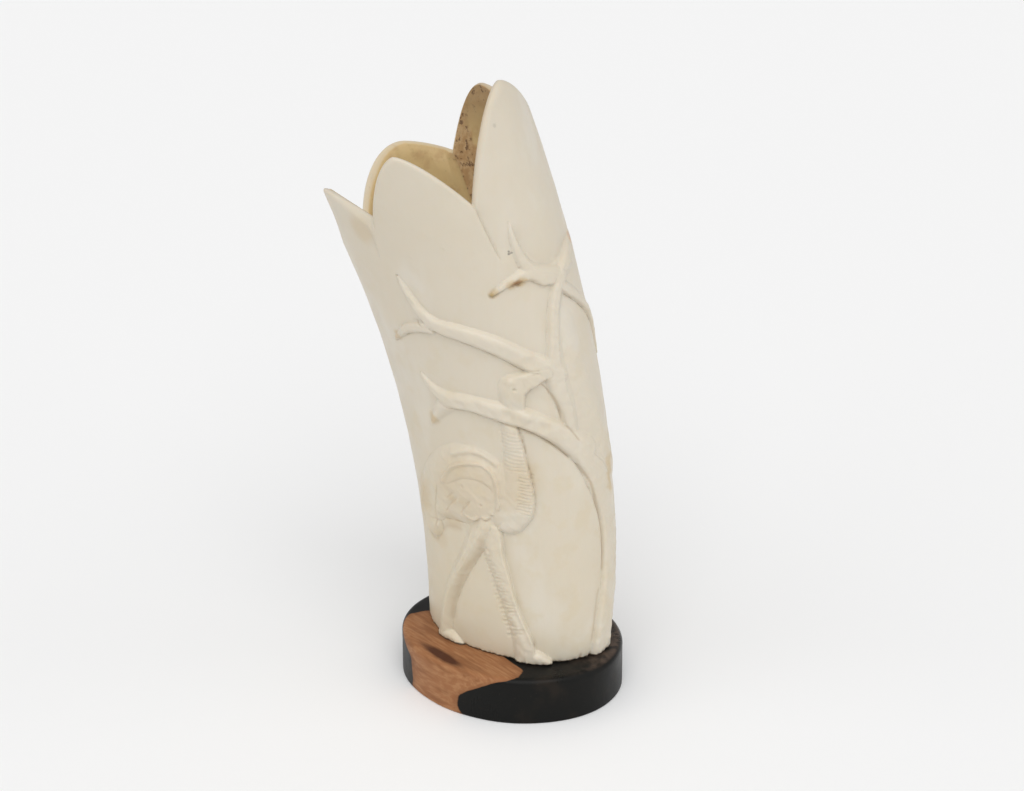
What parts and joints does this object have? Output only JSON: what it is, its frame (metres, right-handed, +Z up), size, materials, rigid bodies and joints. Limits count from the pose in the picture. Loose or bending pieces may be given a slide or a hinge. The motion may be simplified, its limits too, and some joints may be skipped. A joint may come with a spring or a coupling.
{
  "type": "carved ivory tusk",
  "caption": "Hollow length of ivory tusk with a petal rim and an ostrich carved under a thorn tree, standing on an oval ebony base.",
  "frame": {"origin": "middle of the underside of the base", "axes": "+Z up, +Y from the carved front to the back, +X to the right as seen from the front"},
  "size_m": [0.1276, 0.1024, 0.2855],
  "materials": {
    "ivory": "satin, hand polished ivory",
    "ebony": "semi-gloss polished ebony with a patch of pale sapwood"
  },
  "bodies": {
    "root": {"ivory_tusk": "ivory", "ebony_base": "ebony"}
  },
  "joints": []
}
